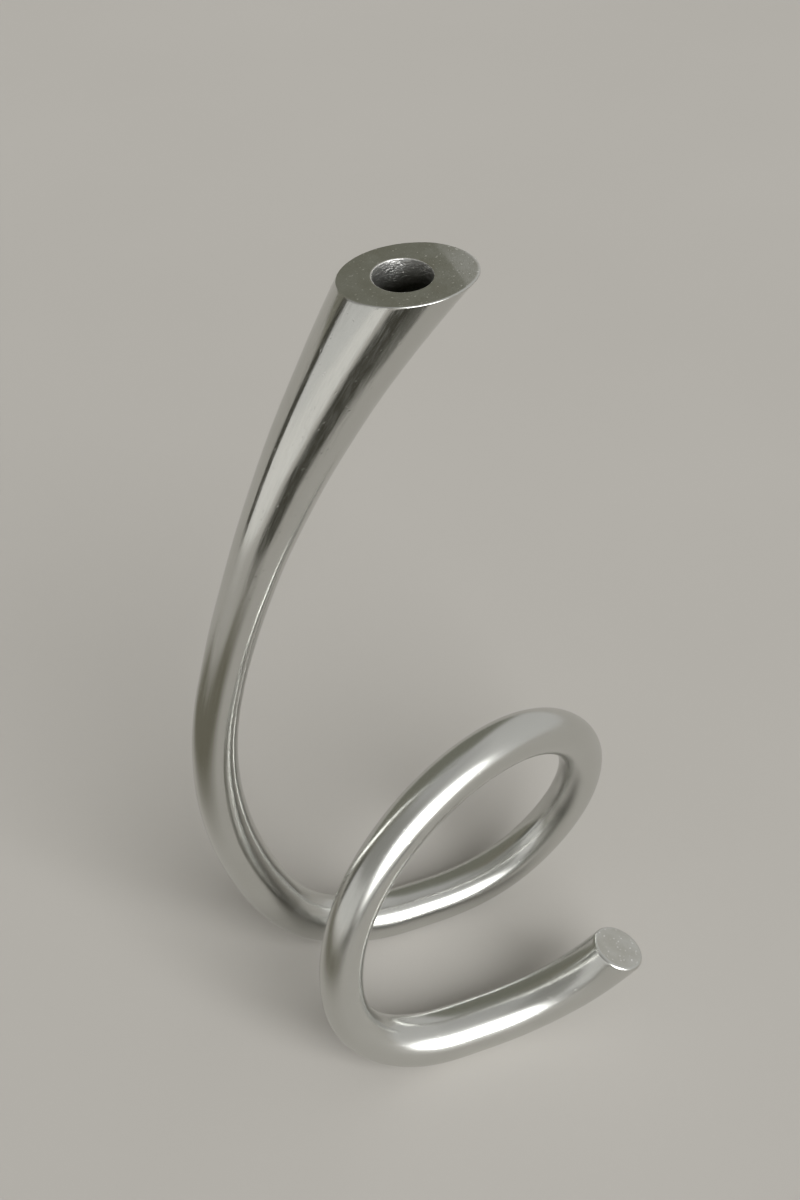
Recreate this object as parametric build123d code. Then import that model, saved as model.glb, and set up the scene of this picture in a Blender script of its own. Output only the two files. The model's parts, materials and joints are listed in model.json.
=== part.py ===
from build123d import *
import os
from math import cos, pi, radians, sin, sqrt, tan

os.makedirs("parts", exist_ok=True)

# Candle socket
candle_diameter = 22.0
candle_clearance = 0.5
socket_depth = 16.0

# Round bar, drawn unevenly: its diameters where it crosses each side of the coil
rear_bar_diameter = 22.8
right_bar_diameter = 20.6
crown_bar_diameter = 21.6
left_bar_diameter = 19.4
front_bar_diameter = 25.0

# Coil, with radii on the centre line of the bar
rear_run = 16.5
rear_turn_radius = 71.2
crown_turn_radius = 64.9
left_turn_radius = 87.0
lead_angle = 9.5
front_run = 14.5
foot_bend_radius = 67.2
foot_bend_angle = 64.1
arc_section_count = 5

# Rising tail and its slanted end
tail_radius = 80.0
tail_length = 74.7
tail_lead_angle = 13.1
tail_cut_angle = 13.0
tail_edge_radius = 1.5

# Stem, with radii on its centre line and diameters square to it
stem_lower_radius = 212.6
stem_lower_angle = 40.8
stem_upper_radius = 512.0
stem_upper_angle = 22.0
waist_diameter = 19.5
head_diameter = 42.6
waist_share = 0.44
flare_power = 1.8
stem_section_count = 12
head_edge_break = 0.4
socket_edge_break = 0.4

# Head piece, from the stem's joint to the middle of its level face
head_length = 46.0

# Dowels across the joints of head, stem and bar
dowel_diameter = 8.0
head_dowel_length = 24.0
foot_dowel_length = 40.0
dowel_edge_break = 0.6
dowel_side_clearance = 0.05
dowel_end_clearance = 0.3

# Floor flats ground on the bar, and the strips stuck to them
floor_flat_width = 12.0
strip_thickness = 1.0
strip_side_margin = 2.0
strip_end_margin = 2.5

# Overrun of every cut past the face that it goes through
overrun = 5.0

# Sizes that follow from those above
socket_radius = (candle_diameter + candle_clearance) / 2
rear_flat_drop = sqrt((rear_bar_diameter / 2) ** 2 - (floor_flat_width / 2) ** 2)
front_flat_drop = sqrt((front_bar_diameter / 2) ** 2 - (floor_flat_width / 2) ** 2)
front_run_rise = front_flat_drop - rear_flat_drop
front_turn_radius = rear_turn_radius + crown_turn_radius - left_turn_radius - front_run_rise
lead = radians(lead_angle)
tail_lead = radians(tail_lead_angle)
tail_spare = front_bar_diameter / 2 * tan(radians(tail_cut_angle)) + overrun


def coil_tangent(heading, side_lead):
    """Direction of the bar where its side view climbs at the given heading."""
    return Vector(cos(side_lead) * cos(heading), -sin(side_lead), cos(side_lead) * sin(heading))


def coil_step(point, heading, radius, turn, side_lead):
    """Point reached from a point of the coil by a turn of the given radius."""
    across = radius * (sin(heading + turn) - sin(heading))
    along = -tan(side_lead) * radius * turn
    upward = radius * (cos(heading) - cos(heading + turn))
    return point + Vector(across, along, upward)


def eased(start, end, share):
    """Size that goes from start to end and levels off at both."""
    return start + (end - start) * (1 - cos(pi * share)) / 2


def tangent_arcs(start, start_tangent, end, end_tangent):
    """Two circular arcs that join two points and keep both end directions."""
    chord = end - start
    both = start_tangent + end_tangent
    square = 2 * start_tangent.dot(end_tangent) - 2
    middle = chord.dot(both)
    reach = (middle - sqrt(middle**2 - square * chord.dot(chord))) / square
    first_corner = start + start_tangent * reach
    second_corner = end - end_tangent * reach
    meeting = (first_corner + second_corner) * 0.5
    meeting_tangent = (second_corner - first_corner).normalized()
    return [
        Edge.make_tangent_arc(start, start_tangent, meeting),
        Edge.make_tangent_arc(meeting, meeting_tangent, end),
    ]


def stem_plane():
    """Upright plane of the foot bend and stem, entered at the end of the rear run."""
    away = -coil_tangent(0, lead)
    return Plane(origin=away * (rear_run / 2 / cos(lead)), x_dir=away, z_dir=away.cross(Vector(0, 0, 1)))


def bend_end(start, heading, radius, turn):
    """End of an arc in the stem plane, and the heading that it leaves with."""
    forward = radius * (sin(heading + turn) - sin(heading))
    upward = radius * (cos(heading) - cos(heading + turn))
    return start + Vector(forward, upward), heading + turn


def plane_direction(heading):
    """Direction in the stem plane that climbs at the given heading."""
    return Vector(cos(heading), sin(heading))


def to_space(plane, vector):
    """Direction of the stem plane turned into the part's own axes."""
    return plane.from_local_coords(vector) - plane.origin


def coil_runs():
    """Runs of the bar from the joint to the tail: edges, and the diameters at both ends."""
    plane = stem_plane()
    point = coil_tangent(0, lead) * (rear_run / 2 / cos(lead))
    joint = stem_station(0)
    foot_bend = Edge.make_tangent_arc(joint.origin, -joint.z_dir, plane.origin)
    rear_edges = [foot_bend, Edge.make_line(plane.origin, point)]
    runs = [(rear_edges, rear_bar_diameter, rear_bar_diameter)]
    heading = 0
    quarter = pi / 2
    quarters = [
        (rear_turn_radius, rear_bar_diameter, right_bar_diameter),
        (crown_turn_radius, right_bar_diameter, crown_bar_diameter),
        (left_turn_radius, crown_bar_diameter, left_bar_diameter),
        (front_turn_radius, left_bar_diameter, front_bar_diameter),
    ]
    for radius, first_diameter, last_diameter in quarters:
        reached = coil_step(point, heading, radius, quarter, lead)
        first_tangent = coil_tangent(heading, lead)
        heading += quarter
        arcs = tangent_arcs(point, first_tangent, reached, coil_tangent(heading, lead))
        runs.append((arcs, first_diameter, last_diameter))
        point = reached
    run_end = point + coil_tangent(heading, lead) * (front_run / cos(lead))
    tail_turn = tail_length / tail_radius
    tail_end = coil_step(run_end, heading, tail_radius, tail_turn, tail_lead)
    tail_tangent = coil_tangent(heading + tail_turn, tail_lead)
    front_edges = [Edge.make_line(point, run_end)]
    front_edges += tangent_arcs(run_end, coil_tangent(heading, lead), tail_end, tail_tangent)
    front_edges.append(Edge.make_line(tail_end, tail_end + tail_tangent * tail_spare))
    runs.append((front_edges, front_bar_diameter, front_bar_diameter))
    return runs, (point + run_end) * 0.5


def bar_section(edge, place, diameter):
    """Round section square to the bar, turned the same way all along it."""
    tangent = edge % place
    across = tangent.cross(Vector(0, 1, 0))
    return Plane(origin=edge @ place, x_dir=across, z_dir=tangent) * Circle(diameter / 2)


def make_run(edges, first_diameter, last_diameter):
    """One run of the bar: swept where it is even, lofted where its diameter changes."""
    if first_diameter == last_diameter:
        return [sweep(bar_section(edge, 0, first_diameter), path=edge) for edge in edges]
    sections = [bar_section(edges[0], 0, first_diameter)]
    for index, edge in enumerate(edges):
        for step in range(arc_section_count):
            place = (step + 1) / arc_section_count
            diameter = eased(first_diameter, last_diameter, (index + place) / len(edges))
            sections.append(bar_section(edge, place, diameter))
    return [loft(sections)]


def dowel_hole(joint, dowel_length):
    """Blind holes for the two halves of a dowel, one on each side of its joint."""
    depth = dowel_length + 2 * dowel_end_clearance
    return joint * Cylinder(dowel_diameter / 2 + dowel_side_clearance, depth)


def tail_cutter(spare):
    """Block that takes the spare length off the tail, tilted up from square across the bar."""
    tangent = spare % 0
    level = tangent.cross(Vector(0, 0, 1)).normalized()
    tilted = tangent.rotate(Axis(Vector(0, 0, 0), level), tail_cut_angle)
    width = 2 * front_bar_diameter
    block = Box(width, width, width, align=(Align.CENTER, Align.CENTER, Align.MIN))
    return Plane(origin=spare @ 0, x_dir=level, z_dir=tilted) * block


def make_coil_bar(runs, foot_joint):
    """Bar along its centre line, cut at the tail and ground flat where it stands."""
    bar = Part() + [length for run in runs for length in make_run(*run)]
    tail_edges = runs[-1][0]
    bar -= tail_cutter(tail_edges[-1])
    tail_face = bar.faces().filter_by(GeomType.PLANE).sort_by(Axis.X)[-1]
    bar = fillet(tail_face.edges(), tail_edge_radius)
    room = bar.bounding_box()
    ground = Pos(room.center().X, room.center().Y, -rear_flat_drop)
    cutter = Box(
        room.size.X + overrun,
        room.size.Y + overrun,
        front_bar_diameter,
        align=(Align.CENTER, Align.CENTER, Align.MAX),
    )
    return bar - ground * cutter - dowel_hole(foot_joint, foot_dowel_length)


def stem_radius(share):
    """Radius of the stem at a share of its length from joint to head."""
    waist_radius = waist_diameter / 2
    if share < waist_share:
        return eased(rear_bar_diameter / 2, waist_radius, share / waist_share)
    flare = ((share - waist_share) / (1 - waist_share)) ** flare_power
    return waist_radius + (head_diameter / 2 - waist_radius) * flare


def stem_length():
    """Length of the stem's centre line from joint to head."""
    return stem_lower_radius * radians(stem_lower_angle) + stem_upper_radius * radians(stem_upper_angle)


def stem_station(share):
    """Plane square to the stem at a share of its length from joint to head."""
    plane = stem_plane()
    travel = share * stem_length()
    point, heading = bend_end(Vector(0, 0), 0, foot_bend_radius, radians(foot_bend_angle))
    lower_travel = min(travel, stem_lower_radius * radians(stem_lower_angle))
    point, heading = bend_end(point, heading, stem_lower_radius, lower_travel / stem_lower_radius)
    upper_travel = travel - lower_travel
    point, heading = bend_end(point, heading, stem_upper_radius, upper_travel / stem_upper_radius)
    direction = to_space(plane, plane_direction(heading))
    return Plane(origin=plane.from_local_coords(point), x_dir=plane.z_dir, z_dir=direction)


def make_shaft():
    """Stem and head in one, lofted through round sections and cut level at the top."""
    head = stem_station(1)
    lean = head.z_dir.get_angle(Vector(0, 0, 1))
    past_head = head_diameter / 2 * tan(radians(lean)) + overrun
    last_share = 1 + past_head / stem_length()
    shares = [last_share * step / stem_section_count for step in range(stem_section_count + 1)]
    shaft = loft([stem_station(share) * Circle(stem_radius(share)) for share in shares])
    spread = 2 * (head_diameter + past_head)
    level = Box(spread, spread, spread, align=(Align.CENTER, Align.CENTER, Align.MIN))
    return shaft - Pos(head.origin) * level


def make_head(shaft, head_joint):
    """Upper end of the shaft, with broken edges and the upright bore for the candle."""
    head = split(shaft, head_joint, keep=Keep.TOP)
    rim = head.faces().filter_by(GeomType.PLANE).sort_by(Axis.Z)[-1].edges()
    head = chamfer(rim, head_edge_break)
    socket = Cylinder(socket_radius, socket_depth, align=(Align.CENTER, Align.CENTER, Align.MAX))
    head -= Pos(stem_station(1).origin) * socket
    mouth = head.edges().filter_by(GeomType.CIRCLE).sort_by(Axis.Z)[-1]
    head = chamfer(mouth, socket_edge_break)
    return head - dowel_hole(head_joint, head_dowel_length)


def make_stem(shaft, head_joint, foot_joint):
    """Rest of the shaft, drilled at both ends for the dowels."""
    stem = split(shaft, head_joint, keep=Keep.BOTTOM)
    return stem - dowel_hole(head_joint, head_dowel_length) - dowel_hole(foot_joint, foot_dowel_length)


def make_dowel(joint, length):
    """Dowel pin with broken edges, centred on its joint."""
    pin = Cylinder(dowel_diameter / 2, length)
    return joint * chamfer(pin.edges().filter_by(GeomType.CIRCLE), dowel_edge_break)


def flat_reach(bend_radius, flat_depth):
    """Length of floor flat that runs into a bend of the given radius."""
    return sqrt(bend_radius**2 - (bend_radius - flat_depth) ** 2)


def make_strip(run_middle, run, flat_depth, radius_before, radius_after):
    """Thin strip with round ends under the flat of one floor run."""
    before = flat_reach(radius_before, flat_depth)
    after = flat_reach(radius_after, flat_depth)
    length = run + before + after - 2 * strip_end_margin
    width = floor_flat_width - 2 * strip_side_margin
    centre = run_middle + coil_tangent(0, lead) * ((after - before) / 2)
    place = Pos(centre.X, centre.Y, -rear_flat_drop) * Rot(0, 0, -lead_angle)
    return place * extrude(SlotOverall(length, width), -strip_thickness)


bar_runs, front_middle = coil_runs()
foot_joint_place = stem_station(0)
head_joint_place = stem_station(1 - head_length / stem_length())
whole_shaft = make_shaft()
rear_flat_depth = rear_bar_diameter / 2 - rear_flat_drop
front_flat_depth = front_bar_diameter / 2 - front_flat_drop
pieces = {
    "socket_head": make_head(whole_shaft, head_joint_place),
    "flared_stem": make_stem(whole_shaft, head_joint_place, foot_joint_place),
    "coil_bar": make_coil_bar(bar_runs, foot_joint_place),
    "head_dowel": make_dowel(head_joint_place, head_dowel_length),
    "foot_dowel": make_dowel(foot_joint_place, foot_dowel_length),
    "rear_strip": make_strip(Vector(0, 0, 0), rear_run, rear_flat_depth, foot_bend_radius, rear_turn_radius),
    "front_strip": make_strip(front_middle, front_run, front_flat_depth, front_turn_radius, tail_radius),
}

# The origin is on the floor, under the middle of the whole part
whole = Compound(list(pieces.values())).bounding_box()
to_origin = Pos(-whole.center().X, -whole.center().Y, strip_thickness + rear_flat_drop)
for node, piece in pieces.items():
    export_step(to_origin * piece, f"parts/{node}.step")
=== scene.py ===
import json
from math import acos, cos, pi, radians, sin, sqrt, tan

import bpy
import numpy as np
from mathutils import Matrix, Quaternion, Vector, noise


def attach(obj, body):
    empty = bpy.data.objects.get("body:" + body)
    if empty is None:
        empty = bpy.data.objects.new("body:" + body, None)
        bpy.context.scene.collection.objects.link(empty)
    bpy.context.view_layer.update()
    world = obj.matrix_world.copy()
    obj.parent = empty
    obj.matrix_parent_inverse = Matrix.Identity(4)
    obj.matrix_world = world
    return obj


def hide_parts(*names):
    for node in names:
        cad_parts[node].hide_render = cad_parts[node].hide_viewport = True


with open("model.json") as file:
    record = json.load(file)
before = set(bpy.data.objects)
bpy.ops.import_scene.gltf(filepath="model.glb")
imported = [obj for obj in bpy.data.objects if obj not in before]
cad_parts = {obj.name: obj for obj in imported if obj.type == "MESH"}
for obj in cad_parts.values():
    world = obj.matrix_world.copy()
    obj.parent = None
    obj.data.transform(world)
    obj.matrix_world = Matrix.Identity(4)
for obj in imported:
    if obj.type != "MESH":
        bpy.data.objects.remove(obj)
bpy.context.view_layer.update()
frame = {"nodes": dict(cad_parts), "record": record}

# Sizes of the object in metres, the same as the solids have
SOCKET_RADIUS = 0.01125
SOCKET_DEPTH = 0.016
REAR_BAR_RADIUS = 0.0114
RIGHT_BAR_RADIUS = 0.0103
CROWN_BAR_RADIUS = 0.0108
LEFT_BAR_RADIUS = 0.0097
FRONT_BAR_RADIUS = 0.0125
REAR_RUN = 0.0165
REAR_TURN = 0.0712
CROWN_TURN = 0.0649
LEFT_TURN = 0.087
LEAD = radians(9.5)
FRONT_RUN = 0.0145
TAIL_RADIUS = 0.08
TAIL_LENGTH = 0.0747
TAIL_LEAD = radians(13.1)
TAIL_CUT = radians(13)
TAIL_EDGE_RADIUS = 0.0015
FOOT_BEND = 0.0672
FOOT_TURN = radians(64.1)
LOWER_BEND = 0.2126
LOWER_TURN = radians(40.8)
UPPER_BEND = 0.512
UPPER_TURN = radians(22)
WAIST_RADIUS = 0.00975
HEAD_RADIUS = 0.0213
WAIST_SHARE = 0.44
FLARE_POWER = 1.8
HEAD_LENGTH = 0.046
DOWEL_HOLE_RADIUS = 0.00405
HEAD_DOWEL_HALF = 0.0123
FOOT_DOWEL_HALF = 0.0203
FLAT_WIDTH = 0.012
STRIP_THICKNESS = 0.001

# Softened rims of the head, and the right tip of its face, which falls away a little
HEAD_EDGE_RADIUS = 0.0005
TIP_START = 0.0185
TIP_SLOPE = tan(radians(3))

# Soft waves left by polishing by hand, and the length over which breaks between arcs are rubbed out
WAVE_DEPTH = 0.0003
WAVE_LENGTH = 0.026
RUB_LENGTH = 0.008

# Depths of the fine texture
STREAK_DEPTH = 0.0000025
SCRATCH_DEPTH = 0.000006
CUT_GRAIN_DEPTH = 0.00002
PIT_DEPTH = 0.00003
RUBBER_GRAIN_DEPTH = 0.00004
TORN_DEPTH = 0.0003

# Edge of the painted shade in the socket, which lies deeper on the left, where the light reaches further
# in
PAINTED_SHADE_SLANT = Vector((-0.4, 0.15, 1.0))
PAINTED_SHADE_FADE = 0.005

# Roughness of each finish, where it is smooth and where it is dull
STEM_ROUGHNESS = (0.1, 0.2)
COIL_ROUGHNESS = (0.2, 0.26)
CUT_ROUGHNESS = (0.13, 0.22)
BORE_ROUGHNESS = (0.3, 0.5)
STEEL_ROUGHNESS = (0.28, 0.42)
RUBBER_ROUGHNESS = (0.7, 0.9)

# Fineness of the streaks, the turn of the scratches, and the ranges of a noise that make the patterns
STEM_GRAIN = 1500
COIL_GRAIN = 2600
SCRATCH_TURN = radians(24)
MOST_OF_NOISE = (0.3, 0.7)
MIDDLE_OF_NOISE = (0.35, 0.65)
PITS_OF_NOISE = (0.7, 0.8)
SPECKS_OF_NOISE = (0.68, 0.74)

# Colours of the object, most of them as a darker and a lighter tone
METAL_COLOURS = (0.60, 0.605, 0.58), (0.67, 0.675, 0.655)
CUT_COLOURS = (0.555, 0.55, 0.505), (0.635, 0.635, 0.605)
SPECK_COLOUR = (0.97, 0.965, 0.95)
BORE_COLOURS = (0.66, 0.66, 0.64), (0.92, 0.915, 0.90)
# Painted shade deep in the socket
PAINTED_SHADE_COLOUR = (0.085, 0.085, 0.07)
STEEL_COLOURS = (0.46, 0.46, 0.47), (0.54, 0.54, 0.55)
RUBBER_COLOURS = (0.03, 0.027, 0.024), (0.07, 0.064, 0.057)

# Fineness of the meshes
RING_POINTS = 128
RING_STEP = 0.0016
END_STEP = 0.0001
EDGE_STEPS = 7
FACE_RINGS = 23
SOCKET_RINGS = 13
SOCKET_FLOOR_SHARES = (0.98, 0.7, 0.4, 0.15)
TAIL_FACE_SHARES = (1, 0.98, 0.75, 0.5, 0.25)
SHARP_ANGLE = radians(35)
SPARE_LENGTH = 0.035

# Studio: its floor, its cards, where its ceiling starts as a share of straight up, and its lamps
FLOOR_HALF = 60.0
CARD_GAP = 0.002
FRONT_CARD = (
    (-0.80, -0.30),
    (-0.80, -1.1),
    (0.15, -1.1),
    (0.10, -0.29),
    (0.05, -0.31),
    (-0.12, -0.41),
    (-0.30, -0.33),
)
# Left card: painted shade, a patch of floor that the metal mirrors as darker
LEFT_SHADE_CARD = ((-0.62, -0.29), (-0.12, -0.29), (-0.12, 0.46), (-0.62, 0.46))
SIDE_CARD = ((-1.13, 0.55), (-0.98, 0.79))
SIDE_CARD_HEIGHT = 0.6
DARK_TO_DIM = (-0.14, -0.02)
# Extent of the left card's painted shade, across and along, and its soft edge
SHADE_CARD_ACROSS = (-0.53, -0.21)
SHADE_CARD_ALONG = (-0.27, 0.37)
SHADE_CARD_FADE = 0.08
CEILING_SHARES = (0.84, 0.97)
KEY_PLACE = (0.1, -1.7, 1.25)
KEY_STRENGTH = 3.3
KEY_WIDTH = radians(40)
WINDOW_PLACE = (0.03, -1.38, 0.64)
WINDOW_TARGET = (0.0, 0.0, 0.1)
WINDOW_SIZE = (1.9, 1.3)
WINDOW_POWER = 90
WINDOW_ACROSS_SHARES = (0.22, 0.78)
WINDOW_ACROSS_FADE_SHARE = 0.22
WINDOW_UPWARD_SHARES = (0.14, 0.75)
WINDOW_UPWARD_FADE_SHARE = 0.25
PANEL_PLACE = (-1.15, -0.31, 0.30)
PANEL_TARGET = (0.0, -0.31, 0.30)
PANEL_SIZE = (1.84, 0.6)
PANEL_POWER = 1.3
LAMP_COLOUR = (1.0, 0.995, 0.98)

# Colours of the studio, and of its walls by the direction in degrees, from the front to the right
FLOOR_COLOURS = (0.42, 0.404, 0.378), (0.45, 0.434, 0.408)
DARK_COLOURS = (0.05, 0.048, 0.038), (0.065, 0.062, 0.05)
DIM_COLOUR = (0.12, 0.117, 0.103)
# Painted shade of the left card, a shaded brown floor
SHADED_FLOOR_COLOUR = (0.165, 0.155, 0.122)
CEILING_COLOUR = (0.46, 0.455, 0.44)
WALLS = (
    (-180, (0.20, 0.20, 0.165)),
    (-126, (0.21, 0.20, 0.16)),
    (-116, (0.30, 0.295, 0.275)),
    (-40, (0.30, 0.295, 0.275)),
    (35, (0.58, 0.575, 0.555)),
    (140, (0.56, 0.555, 0.535)),
    (148, (0.20, 0.20, 0.165)),
)

# Camera, with its lens and sensor in millimetres
CAMERA_PLACE = (-0.25287, -0.42435, 0.69913)
CAMERA_TARGET = (0.0299, 0.0920, 0.1630)
CAMERA_ROLL = radians(-2.15)
LENS_LENGTH = 51.6
SENSOR_WIDTH = 36

# Space between shader nodes in the editor
NODE_SPACE = 200

# Material slots of every piece
SIDE, JOINT, CUT, BORE = range(4)

ANGLES = np.linspace(0, 2 * pi, RING_POINTS, endpoint=False)
ACROSS = np.array((0.0, 1.0, 0.0))
UPWARD = np.array((0.0, 0.0, 1.0))
REAR_DROP = sqrt(REAR_BAR_RADIUS**2 - (FLAT_WIDTH / 2) ** 2)
FRONT_DROP = sqrt(FRONT_BAR_RADIUS**2 - (FLAT_WIDTH / 2) ** 2)
FRONT_TURN = REAR_TURN + CROWN_TURN - LEFT_TURN - (FRONT_DROP - REAR_DROP)
STEM_LENGTH = LOWER_BEND * LOWER_TURN + UPPER_BEND * UPPER_TURN


def unit(vectors):
    """Vectors made one long."""
    return vectors / np.linalg.norm(vectors, axis=-1, keepdims=True)


def eased(start, end, share):
    """Size that goes from start to end and levels off at both."""
    return start + (end - start) * (1 - np.cos(pi * share)) / 2


def steps(length):
    """Distances along a stretch, even but for a short one at each end."""
    inner = np.linspace(END_STEP, length - END_STEP, int(length / RING_STEP) + 2)
    return np.concatenate(((0,), inner, (length,)))


def coil_tangent(heading, lead):
    """Direction of the bar where its side view climbs at the given heading."""
    return np.array((cos(lead) * cos(heading), -sin(lead), cos(lead) * sin(heading)))


def coil_step(point, heading, radius, turn, lead):
    """Point reached from a point of the coil by a turn of the given radius."""
    across = radius * (sin(heading + turn) - sin(heading))
    upward = radius * (cos(heading) - cos(heading + turn))
    return point + np.array((across, -tan(lead) * radius * turn, upward))


RUN_START = -coil_tangent(0, LEAD) * (REAR_RUN / 2 / cos(LEAD))


def bend_point(point, heading, radius, turn):
    """Point reached by an arc in the upright plane of the stem."""
    forward = radius * (sin(heading + turn) - sin(heading))
    upward = radius * (cos(heading) - cos(heading + turn))
    return point - coil_tangent(0, LEAD) * forward + UPWARD * upward


def bend_tangent(heading):
    """Direction of the stem, upwards, where it climbs at the given heading."""
    return UPWARD * sin(heading) - coil_tangent(0, LEAD) * cos(heading)


def stem_place(travel):
    """Point and direction of the stem at a distance from its foot."""
    point = bend_point(RUN_START, 0, FOOT_BEND, FOOT_TURN)
    lower_turn = min(travel / LOWER_BEND, LOWER_TURN)
    point = bend_point(point, FOOT_TURN, LOWER_BEND, lower_turn)
    heading = FOOT_TURN + lower_turn
    upper_turn = (travel - lower_turn * LOWER_BEND) / UPPER_BEND
    return bend_point(point, heading, UPPER_BEND, upper_turn), bend_tangent(heading + upper_turn)


def stem_radius(travel):
    """Radius of the stem at a distance from its foot."""
    share = travel / STEM_LENGTH
    if share < WAIST_SHARE:
        return eased(REAR_BAR_RADIUS, WAIST_RADIUS, share / WAIST_SHARE)
    flare = ((share - WAIST_SHARE) / (1 - WAIST_SHARE)) ** FLARE_POWER
    return WAIST_RADIUS + (HEAD_RADIUS - WAIST_RADIUS) * flare


def line_places(start, end):
    """Points and directions along a straight stretch."""
    direction = unit(end - start)
    return [(start + direction * part, direction) for part in steps(np.linalg.norm(end - start))]


def arc_places(start, tangent, end):
    """Points and directions along the round arc that leaves a point in a direction for another."""
    chord = end - start
    half_turn = acos(unit(chord).dot(tangent))
    side = unit(chord - tangent * chord.dot(tangent))
    radius = np.linalg.norm(chord) / 2 / sin(half_turn)
    places = []
    for turn in steps(2 * half_turn * radius) / radius:
        point = start + radius * (sin(turn) * tangent + (1 - cos(turn)) * side)
        places.append((point, cos(turn) * tangent + sin(turn) * side))
    return places


def tangent_arcs(start, start_tangent, end, end_tangent):
    """Places along two round arcs that join two points and keep both end directions."""
    chord = end - start
    square = 2 * start_tangent.dot(end_tangent) - 2
    middle = chord.dot(start_tangent + end_tangent)
    reach = (middle - sqrt(middle**2 - square * chord.dot(chord))) / square
    first_corner = start + start_tangent * reach
    second_corner = end - end_tangent * reach
    meeting = (first_corner + second_corner) / 2
    first = arc_places(start, start_tangent, meeting)
    return first + arc_places(meeting, unit(second_corner - first_corner), end)[1:]


def with_radii(places, first_radius, last_radius):
    """Places along a run of the bar, each with the radius of the bar there."""
    shares = np.linspace(0, 1, len(places))
    return [(*place, eased(first_radius, last_radius, share)) for place, share in zip(places, shares)]


def stem_foot():
    """Places along the foot of the stem, downwards, up to its joint with the bar."""
    travels = steps(SPARE_LENGTH)[:0:-1]
    places = [stem_place(travel) for travel in travels]
    return [(point, -tangent, stem_radius(travel)) for (point, tangent), travel in zip(places, travels)]


def smoothed(places):
    """Places along the bar with the breaks between its arcs rubbed out, and no shrinking of the arcs."""
    points = np.array([(*point, radius) for point, tangent, radius in places])
    gaps = np.linalg.norm(np.diff(points[:, :3], axis=0), axis=1)
    travels = np.concatenate(((0,), np.cumsum(gaps)))
    weights = np.exp(-(((travels[:, None] - travels) / RUB_LENGTH) ** 2) / 2) * np.gradient(travels)
    weights /= weights.sum(axis=1, keepdims=True)
    once = weights @ points
    points = 2 * once - weights @ once
    tangents = unit(np.gradient(points[:, :3], travels, axis=0))
    return [(point[:3], tangent, point[3]) for point, tangent in zip(points, tangents)]


def coil_turn(start):
    """Places along the four quarters of the coil's turn, and its last point and heading."""
    quarters = (
        (REAR_TURN, REAR_BAR_RADIUS, RIGHT_BAR_RADIUS),
        (CROWN_TURN, RIGHT_BAR_RADIUS, CROWN_BAR_RADIUS),
        (LEFT_TURN, CROWN_BAR_RADIUS, LEFT_BAR_RADIUS),
        (FRONT_TURN, LEFT_BAR_RADIUS, FRONT_BAR_RADIUS),
    )
    places, point, heading, quarter = [], start, 0, pi / 2
    for radius, first_radius, last_radius in quarters:
        reached = coil_step(point, heading, radius, quarter, LEAD)
        ends = coil_tangent(heading, LEAD), coil_tangent(heading + quarter, LEAD)
        places += with_radii(tangent_arcs(point, ends[0], reached, ends[1]), first_radius, last_radius)[1:]
        point, heading = reached, heading + quarter
    return places, point, heading


def coil_places():
    """Points, directions and radii along the bar, from its joint with the stem to past the tail."""
    joint, joint_tangent = stem_place(0)
    places = with_radii(arc_places(joint, -joint_tangent, RUN_START), REAR_BAR_RADIUS, REAR_BAR_RADIUS)
    places += with_radii(line_places(RUN_START, -RUN_START), REAR_BAR_RADIUS, REAR_BAR_RADIUS)[1:]
    turn_places, point, heading = coil_turn(-RUN_START)
    places += turn_places
    run_end = point + coil_tangent(heading, LEAD) * (FRONT_RUN / cos(LEAD))
    tail_turn = TAIL_LENGTH / TAIL_RADIUS
    tail_end = coil_step(run_end, heading, TAIL_RADIUS, tail_turn, TAIL_LEAD)
    tail_tangent = coil_tangent(heading + tail_turn, TAIL_LEAD)
    front = line_places(point, run_end)
    front += tangent_arcs(run_end, coil_tangent(heading, LEAD), tail_end, tail_tangent)[1:]
    front += line_places(tail_end, tail_end + tail_tangent * SPARE_LENGTH)[1:]
    places += with_radii(front, FRONT_BAR_RADIUS, FRONT_BAR_RADIUS)[1:]
    foot = stem_foot()
    return smoothed(foot + places)[len(foot):], tail_end, tail_tangent


HEAD_CENTRE, HEAD_TANGENT = stem_place(STEM_LENGTH)
TIP_DIRECTION = unit(HEAD_TANGENT * (1, 1, 0))
SOCKET = next(mount for mount in frame["record"]["mounts"] if mount["name"] == "candle_socket")
TO_FRAME = np.array((*(np.array(SOCKET["pos_m"])[:2] - HEAD_CENTRE[:2]), STRIP_THICKNESS + REAR_DROP))


def outward_directions(tangent):
    """Directions out of the bar all round it, square to its own direction."""
    side = unit(ACROSS - tangent * ACROSS.dot(tangent))
    out = np.cross(side, tangent)
    return np.outer(np.cos(ANGLES), out) + np.outer(np.sin(ANGLES), side)


def sunken(points, inward):
    """Points moved into the metal by the waves of its polish."""
    depths = [WAVE_DEPTH * (0.5 + 0.5 * noise.noise(Vector(point) / WAVE_LENGTH)) for point in points]
    return points + inward * np.clip(depths, 0, WAVE_DEPTH)[:, None]


def plain_ring(point, tangent, radius):
    """Ring of points square to a direction, without waves."""
    return point + radius * outward_directions(tangent)


def ring(point, tangent, radius):
    """Ring of points on the polished bar, square to its direction."""
    return sunken(plain_ring(point, tangent, radius), -outward_directions(tangent))


def unbent(radius, travel, hand):
    """The same ring on a straight bar, for surface detail that runs along the bar."""
    travels = np.broadcast_to(travel, ANGLES.shape)
    return np.stack((hand * radius * np.cos(ANGLES), radius * np.sin(ANGLES), hand * travels), axis=1)


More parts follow.
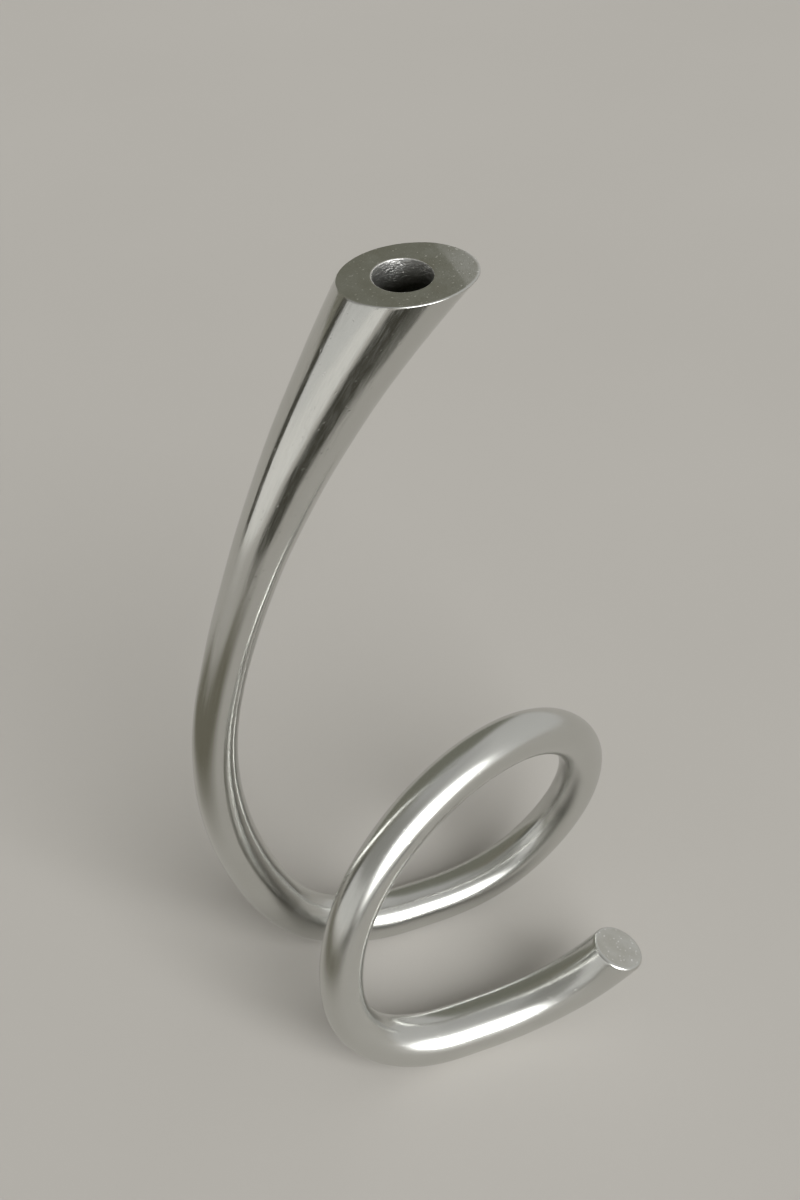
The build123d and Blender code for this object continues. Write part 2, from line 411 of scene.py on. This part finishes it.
def ring_faces(rings):
    """Faces between rings and over both ends, and the material slot of each."""
    count = len(rings)
    first, last, top = count * RING_POINTS, count * RING_POINTS + 1, (count - 1) * RING_POINTS
    faces, slots = [], []
    for step in range(RING_POINTS):
        after = (step + 1) % RING_POINTS
        faces += [(after, step, first), (top + step, top + after, last)]
        slots += [rings[0][2], rings[-1][2]]
        for index in range(count - 1):
            low, high = index * RING_POINTS, (index + 1) * RING_POINTS
            faces.append((low + step, low + after, high + after, high + step))
            slots.append(rings[index][2])
    return faces, slots


def make_piece(name, rings, materials, node):
    """Closed mesh through rings, each with its unbent places and the slot up to the next ring."""
    points = [entry[0] for entry in rings]
    places = [entry[1] for entry in rings]
    middles = [points[0].mean(axis=0), points[-1].mean(axis=0)]
    middle_places = [places[0].mean(axis=0), places[-1].mean(axis=0)]
    faces, slots = ring_faces(rings)
    mesh = bpy.data.meshes.new(name)
    mesh.from_pydata((np.concatenate((*points, middles)) + TO_FRAME).tolist(), [], faces)
    layer = mesh.attributes.new("bar_place", "FLOAT_VECTOR", "POINT")
    layer.data.foreach_set("vector", np.concatenate((*places, middle_places)).astype(np.float32).ravel())
    for material in materials:
        mesh.materials.append(material)
    mesh.polygons.foreach_set("material_index", slots)
    mesh.shade_smooth()
    mesh.set_sharp_from_angle(angle=SHARP_ANGLE)
    piece = bpy.data.objects.new(name, mesh)
    bpy.context.scene.collection.objects.link(piece)
    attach(piece, "root")
    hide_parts(node)


def drilled_end(point, tangent, radius, depth, travel, slots):
    """Rings of a flat end with a blind hole, from the bottom of the hole to the rim of the end."""
    hole = unbent(DOWEL_HOLE_RADIUS, travel, 1)
    return [
        (plain_ring(point + tangent * depth, tangent, DOWEL_HOLE_RADIUS), hole, slots[0]),
        (plain_ring(point, tangent, DOWEL_HOLE_RADIUS), hole, slots[1]),
        (ring(point, tangent, radius), unbent(radius, travel, 1), slots[2]),
    ]


def along(lines, travels, reach):
    """Points on lines along the bar, each at its own distance."""
    points = np.empty((RING_POINTS, 3))
    for column in range(RING_POINTS):
        for axis in range(3):
            points[column, axis] = np.interp(reach[column], travels, lines[:, column, axis])
    return points


def cut_end(lines, travels, centre, normal, edge_radius):
    """Distances of lines to a plane cut across them, less its rounded edge, and the rings of that edge."""
    heights = (lines - centre) @ normal
    reach = np.array([np.interp(0, heights[:, column], travels) for column in range(RING_POINTS)])
    rim = along(lines, travels, reach)
    back = unit(along(lines, travels, reach - edge_radius) - rim)
    inward = unit(centre - rim - np.outer((centre - rim) @ normal, normal))
    half_corner = np.arccos((back * inward).sum(axis=1))[:, None] / 2
    setback = edge_radius / np.tan(half_corner)
    middle = rim + unit(back + inward) * edge_radius / np.sin(half_corner)
    first = unit(rim + back * setback - middle)
    last = unit(rim + inward * setback - middle)
    turn = np.arccos((first * last).sum(axis=1))[:, None]
    edge = []
    for share in np.linspace(0, 1, EDGE_STEPS):
        between = np.sin((1 - share) * turn) * first + np.sin(share * turn) * last
        edge.append(middle + edge_radius * between / np.sin(turn))
    return reach - setback[:, 0], edge


def side_rings(lines, travels, reach, radius, hand):
    """Rings that go from square across the bar to the slant of a cut."""
    rings = []
    count = int((reach.max() - travels[0]) / RING_STEP) + 2
    for share in np.linspace(0, 1, count)[1:-1]:
        distances = travels[0] + (reach - travels[0]) * share
        radii = np.array([radius(distance) for distance in distances])
        rings.append((along(lines, travels, distances), unbent(radii, distances, hand), SIDE))
    return rings


def make_coil(materials):
    """Coiled bar with its drilled joint, floor flats and slanted tail end."""
    places, tail_end, tail_tangent = coil_places()
    gaps = [np.linalg.norm(after[0] - before[0]) for before, after in zip(places, places[1:])]
    travels = np.concatenate(((0,), np.cumsum(gaps)))
    point, tangent, radius = places[0]
    rings = drilled_end(point, tangent, radius, FOOT_DOWEL_HALF, 0, (BORE, JOINT, SIDE))
    whole = int(np.searchsorted(travels, travels[-1] - 2 * SPARE_LENGTH))
    for (point, tangent, radius), travel in zip(places[1:whole + 1], travels[1:]):
        rings.append((ring(point, tangent, radius), unbent(radius, travel, -1), SIDE))
    lines = np.array([ring(*place) for place in places[whole:]])
    level = unit(np.cross(tail_tangent, UPWARD))
    normal = tail_tangent * cos(TAIL_CUT) + np.cross(level, tail_tangent) * sin(TAIL_CUT)
    reach, edge = cut_end(lines, travels[whole:], tail_end, normal, TAIL_EDGE_RADIUS)
    rings += side_rings(lines, travels[whole:], reach, lambda travel: FRONT_BAR_RADIUS, -1)
    end_place = unbent(FRONT_BAR_RADIUS, reach.mean(), -1)
    rings += [(points, end_place, SIDE) for points in edge[:-1]]
    for share in TAIL_FACE_SHARES:
        rings.append((tail_end + (edge[-1] - tail_end) * share, end_place, CUT))
    for points in [entry[0] for entry in rings]:
        points[:, 2] = np.maximum(points[:, 2], -REAR_DROP)
    make_piece("coil", rings, materials, "coil_bar")


def make_stem(materials):
    """Tapering stem, drilled at both ends."""
    top_travel = STEM_LENGTH - HEAD_LENGTH
    point, tangent = stem_place(0)
    rings = drilled_end(point, tangent, REAR_BAR_RADIUS, FOOT_DOWEL_HALF, 0, (BORE, JOINT, SIDE))
    for travel in steps(top_travel)[1:-1]:
        radius = stem_radius(travel)
        rings.append((ring(*stem_place(travel), radius), unbent(radius, travel, 1), SIDE))
    point, tangent = stem_place(top_travel)
    radius = stem_radius(top_travel)
    top = drilled_end(point, tangent, radius, -HEAD_DOWEL_HALF, top_travel, (BORE, BORE, JOINT))
    make_piece("stem", rings + top[::-1], materials, "flared_stem")


def socket_rings(circle, place):
    """Rings of the blind socket, from its rounded mouth to its floor."""
    rings = []
    for share in np.linspace(0, 1, EDGE_STEPS):
        sink = HEAD_EDGE_RADIUS * (1 - cos(share * pi / 2))
        wide = SOCKET_RADIUS + HEAD_EDGE_RADIUS * (1 - sin(share * pi / 2))
        slot = CUT if share < 0.5 else BORE
        rings.append((HEAD_CENTRE + circle * wide - UPWARD * sink, place, slot))
    for depth in np.linspace(HEAD_EDGE_RADIUS, SOCKET_DEPTH, SOCKET_RINGS + 1)[1:]:
        rings.append((HEAD_CENTRE + circle * SOCKET_RADIUS - UPWARD * depth, place, BORE))
    for share in SOCKET_FLOOR_SHARES:
        rings.append((HEAD_CENTRE + circle * SOCKET_RADIUS * share - UPWARD * SOCKET_DEPTH, place, BORE))
    return rings


def lower_tip(rings):
    """Lets the right tip of the head's face fall away."""
    for points in [entry[0] for entry in rings]:
        past = (points - HEAD_CENTRE) @ TIP_DIRECTION - TIP_START
        points[:, 2] -= np.maximum(past, 0) * TIP_SLOPE


def make_head(materials):
    """Head with its level oval face, rounded edges and blind socket."""
    start = STEM_LENGTH - HEAD_LENGTH
    point, tangent = stem_place(start)
    rings = drilled_end(point, tangent, stem_radius(start), HEAD_DOWEL_HALF, start, (BORE, JOINT, SIDE))
    travels = start + steps(HEAD_LENGTH + SPARE_LENGTH)
    lines = np.array([ring(*stem_place(travel), stem_radius(travel)) for travel in travels])
    reach, edge = cut_end(lines, travels, HEAD_CENTRE, UPWARD, HEAD_EDGE_RADIUS)
    rings.append((lines[1], unbent(stem_radius(travels[1]), travels[1], 1), SIDE))
    rings += side_rings(lines, travels, reach, stem_radius, 1)
    end_place = unbent(HEAD_RADIUS, STEM_LENGTH, 1)
    rings += [(points, end_place, SIDE) for points in edge[:-1]]
    outward = edge[-1] - HEAD_CENTRE
    turns = np.arctan2(outward[:, 1], outward[:, 0])
    circle = np.stack((np.cos(turns), np.sin(turns), np.zeros_like(turns)), axis=1)
    mouth = HEAD_CENTRE + circle * (SOCKET_RADIUS + HEAD_EDGE_RADIUS)
    for share in np.linspace(0, 1, FACE_RINGS + 1)[:-1]:
        rings.append((edge[-1] + (mouth - edge[-1]) * share, end_place, CUT))
    lower_tip(rings[-FACE_RINGS - EDGE_STEPS:])
    rings += socket_rings(circle, end_place)
    make_piece("head", rings, materials, "socket_head")


def shader_node(tree, kind, **values):
    """Shader node left of those before it, with its inputs or properties set by name."""
    node = tree.nodes.new(kind)
    node.location.x = -NODE_SPACE * len(tree.nodes)
    for key, value in values.items():
        if key in node.inputs:
            node.inputs[key].default_value = value
        else:
            setattr(node, key, value)
    return node


def new_material(name, **values):
    """Material with one Principled shader and the given socket values."""
    material = bpy.data.materials.new(name)
    material.use_nodes = True
    tree = material.node_tree
    shader = tree.nodes["Principled BSDF"]
    for key, value in values.items():
        shader.inputs[key].default_value = value
    return material, tree, shader


def object_places(tree):
    """Places on the object, for texture that doesn't follow the bar."""
    return shader_node(tree, "ShaderNodeTexCoord").outputs["Object"]


def split_axes(tree, source):
    """Outputs with the X, Y and Z of a place or direction."""
    node = shader_node(tree, "ShaderNodeSeparateXYZ")
    tree.links.new(source, node.inputs["Vector"])
    return node.outputs


def scaled_noise(tree, source, scale, detail):
    """Noise over places that are stretched by a scale along each axis."""
    mapping = shader_node(tree, "ShaderNodeMapping", Scale=scale)
    tree.links.new(source, mapping.inputs["Vector"])
    texture = shader_node(tree, "ShaderNodeTexNoise", Scale=1.0, Detail=detail)
    tree.links.new(mapping.outputs["Vector"], texture.inputs["Vector"])
    return texture.outputs["Fac"]


def even_noise(tree, source, scale, detail):
    """Noise over places with the same scale along each axis."""
    return scaled_noise(tree, source, (scale, scale, scale), detail)


def mapped(tree, value, source, target):
    """Value moved from one range to another, without going past its ends."""
    node = shader_node(tree, "ShaderNodeMapRange")
    node.inputs["From Min"].default_value, node.inputs["From Max"].default_value = source
    node.inputs["To Min"].default_value, node.inputs["To Max"].default_value = target
    tree.links.new(value, node.inputs["Value"])
    return node.outputs["Result"]


def calculated(tree, operation, first, second):
    """Result of a calculation on two values, either of which may be a plain number."""
    node = shader_node(tree, "ShaderNodeMath", operation=operation)
    for socket, value in zip(node.inputs, (first, second)):
        if isinstance(value, (int, float)):
            socket.default_value = value
        else:
            tree.links.new(value, socket)
    return node.outputs["Value"]


def soft_band(tree, value, ends, fade):
    """One between two ends of a range, with soft edges, and nothing past them."""
    low, high = ends
    rise = mapped(tree, value, (low - fade, low + fade), (0, 1))
    fall = mapped(tree, value, (high - fade, high + fade), (1, 0))
    for socket in (rise, fall):
        socket.node.interpolation_type = "SMOOTHSTEP"
    return calculated(tree, "MULTIPLY", rise, fall)


def mixed(tree, factor, first, second):
    """Colour between two by a factor, each of them a link or a plain colour."""
    node = shader_node(tree, "ShaderNodeMix", data_type="RGBA")
    tree.links.new(factor, node.inputs["Factor"])
    sockets = [socket for socket in node.inputs if socket.type == "RGBA"]
    for socket, colour in zip(sockets, (first, second)):
        if isinstance(colour, tuple):
            socket.default_value = (*colour, 1)
        else:
            tree.links.new(colour, socket)
    return next(socket for socket in node.outputs if socket.type == "RGBA")


def bumped(tree, height, distance, before):
    """Bump of a height in metres, on top of the normal of an earlier bump."""
    node = shader_node(tree, "ShaderNodeBump", Distance=distance)
    tree.links.new(height, node.inputs["Height"])
    if before is not None:
        tree.links.new(before, node.inputs["Normal"])
    return node.outputs["Normal"]


def pitted(tree, place, before):
    """Bump of a few small pits left by casting, on top of the normal of an earlier bump."""
    pits = mapped(tree, even_noise(tree, place, scale=650, detail=1), PITS_OF_NOISE, (1, 0))
    return bumped(tree, pits, PIT_DEPTH, before)


def polished_metal(name, grain, roughness):
    """Hand polished cast metal: fine streaks along the bar, a few cloudy patches and small pits."""
    material, tree, shader = new_material(name, Metallic=1.0)
    place = shader_node(tree, "ShaderNodeAttribute", attribute_name="bar_place").outputs["Vector"]
    streaks = scaled_noise(tree, place, scale=(grain, grain, 16), detail=3)
    clouds = scaled_noise(tree, place, scale=(75, 75, 30), detail=2)
    tree.links.new(mixed(tree, clouds, *METAL_COLOURS), shader.inputs["Base Color"])
    tree.links.new(mapped(tree, streaks, MIDDLE_OF_NOISE, roughness), shader.inputs["Roughness"])
    normal = pitted(tree, place, bumped(tree, streaks, STREAK_DEPTH, None))
    tree.links.new(normal, shader.inputs["Normal"])
    return material


def satin_cut():
    """Sawn and rubbed face: stained satin metal with crossing scratches, small pits and bright specks."""
    material, tree, shader = new_material("satin_cut", Metallic=1.0)
    place = object_places(tree)
    turned = shader_node(tree, "ShaderNodeMapping", Rotation=(0, 0, SCRATCH_TURN))
    tree.links.new(place, turned.inputs["Vector"])
    scratches = scaled_noise(tree, turned.outputs["Vector"], scale=(2600, 120, 400), detail=2)
    grain = even_noise(tree, place, scale=900, detail=4)
    clouds = mapped(tree, even_noise(tree, place, scale=110, detail=3), MIDDLE_OF_NOISE, (0, 1))
    specks = mapped(tree, even_noise(tree, place, scale=750, detail=1), SPECKS_OF_NOISE, (0, 1))
    colour = mixed(tree, specks, mixed(tree, clouds, *CUT_COLOURS), SPECK_COLOUR)
    tree.links.new(colour, shader.inputs["Base Color"])
    tree.links.new(mapped(tree, grain, MOST_OF_NOISE, CUT_ROUGHNESS), shader.inputs["Roughness"])
    normal = bumped(tree, grain, CUT_GRAIN_DEPTH, None)
    normal = bumped(tree, scratches, SCRATCH_DEPTH, normal)
    tree.links.new(pitted(tree, place, normal), shader.inputs["Normal"])
    return material


def bored_metal():
    """Inside of the socket: coarse torn metal, bright at the mouth, with painted shade further down."""
    material, tree, shader = new_material("bored_metal", Metallic=1.0)
    place = object_places(tree)
    torn = scaled_noise(tree, place, scale=(800, 800, 1700), detail=4)
    specks = even_noise(tree, place, scale=1500, detail=2)
    slanted = shader_node(tree, "ShaderNodeVectorMath", operation="DOT_PRODUCT")
    tree.links.new(place, slanted.inputs[0])
    slanted.inputs[1].default_value = PAINTED_SHADE_SLANT
    level = Vector(SOCKET["pos_m"]).dot(PAINTED_SHADE_SLANT)
    # Painted shade: below a line that slants with the light, the socket turns dark
    painted_shade = mapped(tree, slanted.outputs["Value"], (level - PAINTED_SHADE_FADE, level + PAINTED_SHADE_FADE), (1, 0))
    colour = mixed(tree, painted_shade, mixed(tree, specks, *BORE_COLOURS), PAINTED_SHADE_COLOUR)
    tree.links.new(colour, shader.inputs["Base Color"])
    tree.links.new(mapped(tree, torn, MOST_OF_NOISE, BORE_ROUGHNESS), shader.inputs["Roughness"])
    tree.links.new(bumped(tree, torn, TORN_DEPTH, None), shader.inputs["Normal"])
    return material


def ground_steel():
    """Ground steel of the dowels, with fine lines."""
    material, tree, shader = new_material("ground_steel", Metallic=1.0)
    lines = scaled_noise(tree, object_places(tree), scale=(300, 300, 2400), detail=3)
    tree.links.new(mixed(tree, lines, *STEEL_COLOURS), shader.inputs["Base Color"])
    tree.links.new(mapped(tree, lines, MOST_OF_NOISE, STEEL_ROUGHNESS), shader.inputs["Roughness"])
    return material


def matt_rubber():
    """Dark matt rubber of the floor strips, with a fine grain and dust."""
    material, tree, shader = new_material("matt_rubber", Metallic=0.0)
    place = object_places(tree)
    grain = even_noise(tree, place, scale=1800, detail=4)
    dust = even_noise(tree, place, scale=220, detail=3)
    tree.links.new(mixed(tree, dust, *RUBBER_COLOURS), shader.inputs["Base Color"])
    tree.links.new(mapped(tree, grain, MOST_OF_NOISE, RUBBER_ROUGHNESS), shader.inputs["Roughness"])
    tree.links.new(bumped(tree, grain, RUBBER_GRAIN_DEPTH, None), shader.inputs["Normal"])
    return material


def add_sheet(name, corners):
    """Flat sheet of the studio with a new material that has no shine."""
    mesh = bpy.data.meshes.new(name)
    mesh.from_pydata(corners, [], [range(len(corners))])
    sheet = bpy.data.objects.new(name, mesh)
    bpy.context.scene.collection.objects.link(sheet)
    material, tree, shader = new_material(name, **{"Specular IOR Level": 0.0})
    mesh.materials.append(material)
    return sheet, tree, shader.inputs["Base Color"]


def make_floor():
    """Plain pale floor, wide enough to fill every view."""
    half = FLOOR_HALF
    corners = [(-half, -half, 0), (half, -half, 0), (half, half, 0), (-half, half, 0)]
    tree, colour = add_sheet("floor", corners)[1:]
    clouds = even_noise(tree, object_places(tree), scale=3, detail=3)
    tree.links.new(mixed(tree, clouds, *FLOOR_COLOURS), colour)


def add_card(name, corners):
    """Card of the studio, out of the picture, that shows only in the metal's reflections."""
    card, tree, colour = add_sheet(name, corners)
    card.visible_camera = False
    card.visible_diffuse = False
    card.visible_shadow = False
    place = object_places(tree)
    return tree, split_axes(tree, place), even_noise(tree, place, scale=200, detail=3), colour


def make_dark_card(name, corners):
    """Nearly black card, a little paler towards the right."""
    tree, axes, grain, colour = add_card(name, corners)
    right = mapped(tree, axes["X"], DARK_TO_DIM, (0, 1))
    tree.links.new(mixed(tree, right, mixed(tree, grain, *DARK_COLOURS), DIM_COLOUR), colour)


def make_painted_shade_card(name, corners):
    """Brown card of painted shade: a patch of floor that the metal mirrors as darker, as if in shade,
    fading into the colour of the floor at its edges.
    """
    tree, axes, grain, colour = add_card(name, corners)
    across = soft_band(tree, axes["X"], SHADE_CARD_ACROSS, SHADE_CARD_FADE)
    lengthwise = soft_band(tree, axes["Y"], SHADE_CARD_ALONG, SHADE_CARD_FADE)
    middle = calculated(tree, "MULTIPLY", across, lengthwise)
    tree.links.new(mixed(tree, middle, mixed(tree, grain, *FLOOR_COLOURS), SHADED_FLOOR_COLOUR), colour)


def make_cards():
    """Cards on the floor in front and on the left, the left one painted shade, and one that stands at the
    end of the left panel.
    """
    make_dark_card("floor_card", [(x, y, CARD_GAP) for x, y in FRONT_CARD])
    # Painted shade: the left card darkens the floor that the metal mirrors on its left
    make_painted_shade_card("left_shade_card", [(x, y, CARD_GAP) for x, y in LEFT_SHADE_CARD])
    first, last = SIDE_CARD
    top = SIDE_CARD_HEIGHT
    make_dark_card("side_card", [(*first, 0), (*last, 0), (*last, top), (*first, top)])


def wall_colours(tree, azimuth):
    """Walls of the studio round the object: dark behind it, pale on its right."""
    node = shader_node(tree, "ShaderNodeValToRGB")
    tree.links.new(mapped(tree, azimuth, (-pi, pi), (0, 1)), node.inputs["Fac"])
    stops = node.color_ramp.elements
    while len(stops) < len(WALLS):
        stops.new(1)
    for stop, (degrees, colour) in zip(stops, WALLS):
        stop.position = (degrees + 180) / 360
        stop.color = (*colour, 1)
    return node.outputs["Color"]


def make_room():
    """Dim studio round the object."""
    world = bpy.data.worlds.new("studio")
    world.use_nodes = True
    tree = world.node_tree
    axes = split_axes(tree, shader_node(tree, "ShaderNodeTexCoord").outputs["Generated"])
    forward = calculated(tree, "MULTIPLY", axes["Y"], -1.0)
    azimuth = calculated(tree, "ARCTAN2", axes["X"], forward)
    ceiling = mapped(tree, axes["Z"], CEILING_SHARES, (0, 1))
    colour = mixed(tree, ceiling, wall_colours(tree, azimuth), CEILING_COLOUR)
    tree.links.new(colour, tree.nodes["Background"].inputs["Color"])
    bpy.context.scene.world = world


def aimed(place, target):
    """Turn that points the local -Z of a lamp or camera from one place to another."""
    return (Vector(target) - Vector(place)).to_track_quat("-Z", "Y")


def add_turned(name, data, turn):
    """Lamp or camera with a turn."""
    thing = bpy.data.objects.new(name, data)
    thing.rotation_mode = "QUATERNION"
    thing.rotation_quaternion = turn
    bpy.context.scene.collection.objects.link(thing)
    return thing


def add_softbox(name, place, target, size, power):
    """Large soft lamp that shows only in the metal's reflections."""
    lamp = bpy.data.lights.new(name, "AREA")
    lamp.shape = "RECTANGLE"
    lamp.size, lamp.size_y = size
    lamp.energy = power
    lamp.color = LAMP_COLOUR
    softbox = add_turned(name, lamp, aimed(place, target))
    softbox.location = place
    softbox.visible_camera = False
    softbox.visible_diffuse = False
    return lamp


def fade_edges(lamp):
    """Lets a lamp fade from its middle to its edges, as light through a thin curtain does."""
    lamp.use_nodes = True
    tree = lamp.node_tree
    axes = split_axes(tree, shader_node(tree, "ShaderNodeNewGeometry").outputs["Parametric"])
    across = soft_band(tree, axes["X"], WINDOW_ACROSS_SHARES, WINDOW_ACROSS_FADE_SHARE)
    upward = soft_band(tree, axes["Y"], WINDOW_UPWARD_SHARES, WINDOW_UPWARD_FADE_SHARE)
    strength = calculated(tree, "MULTIPLY", across, upward)
    tree.links.new(strength, tree.nodes["Emission"].inputs["Strength"])


def add_key():
    """Wide, even light from the front, which the metal doesn't mirror."""
    lamp = bpy.data.lights.new("key", "SUN")
    lamp.energy = KEY_STRENGTH
    lamp.angle = KEY_WIDTH
    key = add_turned("key", lamp, aimed(KEY_PLACE, (0, 0, 0)))
    key.visible_glossy = False


def add_lamps():
    """Key light, with a wide window in front and a low pale panel on the left for the metal to mirror."""
    add_key()
    fade_edges(add_softbox("window", WINDOW_PLACE, WINDOW_TARGET, WINDOW_SIZE, WINDOW_POWER))
    add_softbox("left_panel", PANEL_PLACE, PANEL_TARGET, PANEL_SIZE, PANEL_POWER)


def set_camera():
    """Camera at the photograph's viewing angle."""
    lens = bpy.data.cameras.new("camera")
    lens.sensor_width = SENSOR_WIDTH
    lens.lens = LENS_LENGTH
    turn = aimed(CAMERA_PLACE, CAMERA_TARGET) @ Quaternion((0, 0, 1), CAMERA_ROLL)
    camera = add_turned("camera", lens, turn)
    camera.location = CAMERA_PLACE
    bpy.context.scene.camera = camera


def dress_nodes(names, material):
    """Gives carried-over solids a finished material."""
    for name in names:
        mesh = frame["nodes"][name].data
        mesh.materials.clear()
        mesh.materials.append(material)


cut_face = satin_cut()
ends = [cut_face, cut_face, bored_metal()]
stem_metals = [polished_metal("stem_metal", STEM_GRAIN, STEM_ROUGHNESS), *ends]
make_coil([polished_metal("coil_metal", COIL_GRAIN, COIL_ROUGHNESS), *ends])
make_stem(stem_metals)
make_head(stem_metals)
dress_nodes(("head_dowel", "foot_dowel"), ground_steel())
dress_nodes(("rear_strip", "front_strip"), matt_rubber())
make_floor()
make_cards()
make_room()
add_lamps()
set_camera()
bpy.context.scene.view_settings.view_transform = "Standard"
